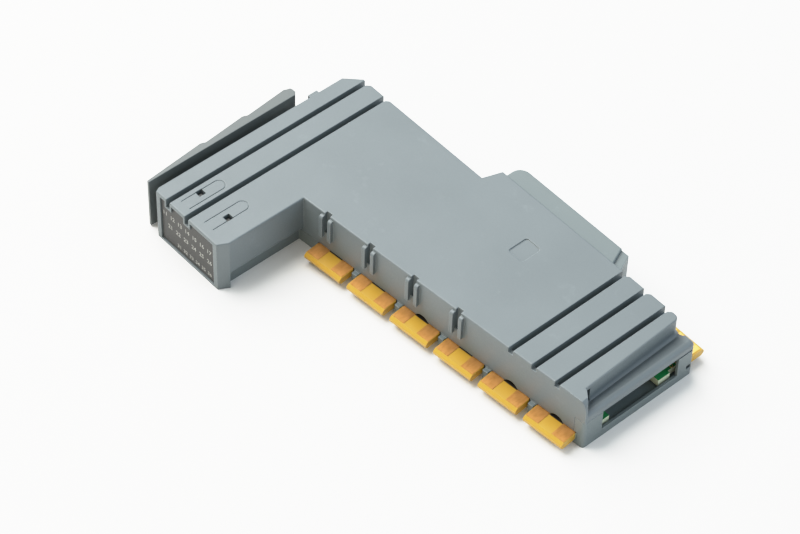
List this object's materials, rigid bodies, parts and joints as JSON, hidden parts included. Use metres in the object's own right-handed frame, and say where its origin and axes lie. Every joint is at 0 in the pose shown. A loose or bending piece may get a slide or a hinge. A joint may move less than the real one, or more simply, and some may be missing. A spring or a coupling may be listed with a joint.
{
  "type": "plc module",
  "caption": "Slim slice-type controller input/output module with grooved housing, bare board tongues for the terminal block and bus, status label and sprung release lever.",
  "frame": {"origin": "middle of the bounding box, on the plane of the base shell that the module lies on", "axes": "+X from the top end with the release lever to the bottom end, +Y from the label face to the back, +Z through the module's thickness to the grooved side face"},
  "size_m": [0.0954, 0.0582, 0.0125],
  "materials": {
    "housing": "fine moulded grain, satin",
    "label": "satin film",
    "black_plastic": "moulded",
    "clear_plastic": "clear, polished",
    "lamp": "moulded clear-yellow",
    "steel": "drawn",
    "board": "solder mask over laminate",
    "contact_gold": "thin gold plating",
    "chip_black": "moulded",
    "chip_white": "moulded",
    "tinned_leads": "tinned",
    "ceramic": "fired",
    "can_metal": "drawn can",
    "tantalum": "moulded",
    "ferrite": "sintered"
  },
  "bodies": {
    "housing": {"side_cover": "housing", "base_shell": "housing", "status_label": "label", "guide_carrier": "black_plastic", "light_guide": "clear_plastic", "status_lamps": "lamp", "hinge_pin": "steel", "lever_spring": "steel", "main_board": "board", "terminal_contacts": "contact_gold", "bus_contacts": "contact_gold", "controller_chip": "chip_black", "controller_leads": "tinned_leads", "bus_chip": "chip_black", "crystal": "can_metal", "optocouplers": "chip_white", "output_drivers": "chip_black", "driver_leads": "tinned_leads", "protection_diodes": "chip_black", "ceramic_capacitors": "ceramic", "chip_resistors": "chip_black", "can_capacitors": "can_metal", "tantalum_capacitors": "tantalum", "power_inductor": "ferrite"},
    "lever": {"release_lever": "housing"}
  },
  "joints": [
    {"name": "lever_hinge", "type": "hinge", "parent": "housing", "child": "lever", "pos_m": [-0.04389, -0.0258, 0.00625], "axis": [0, 0, 1], "range_deg": [-3.3, 0], "stiffness_Nm_per_rad": 0.15, "springref_deg": 5.73, "deforming": ["lever_spring"]}
  ]
}
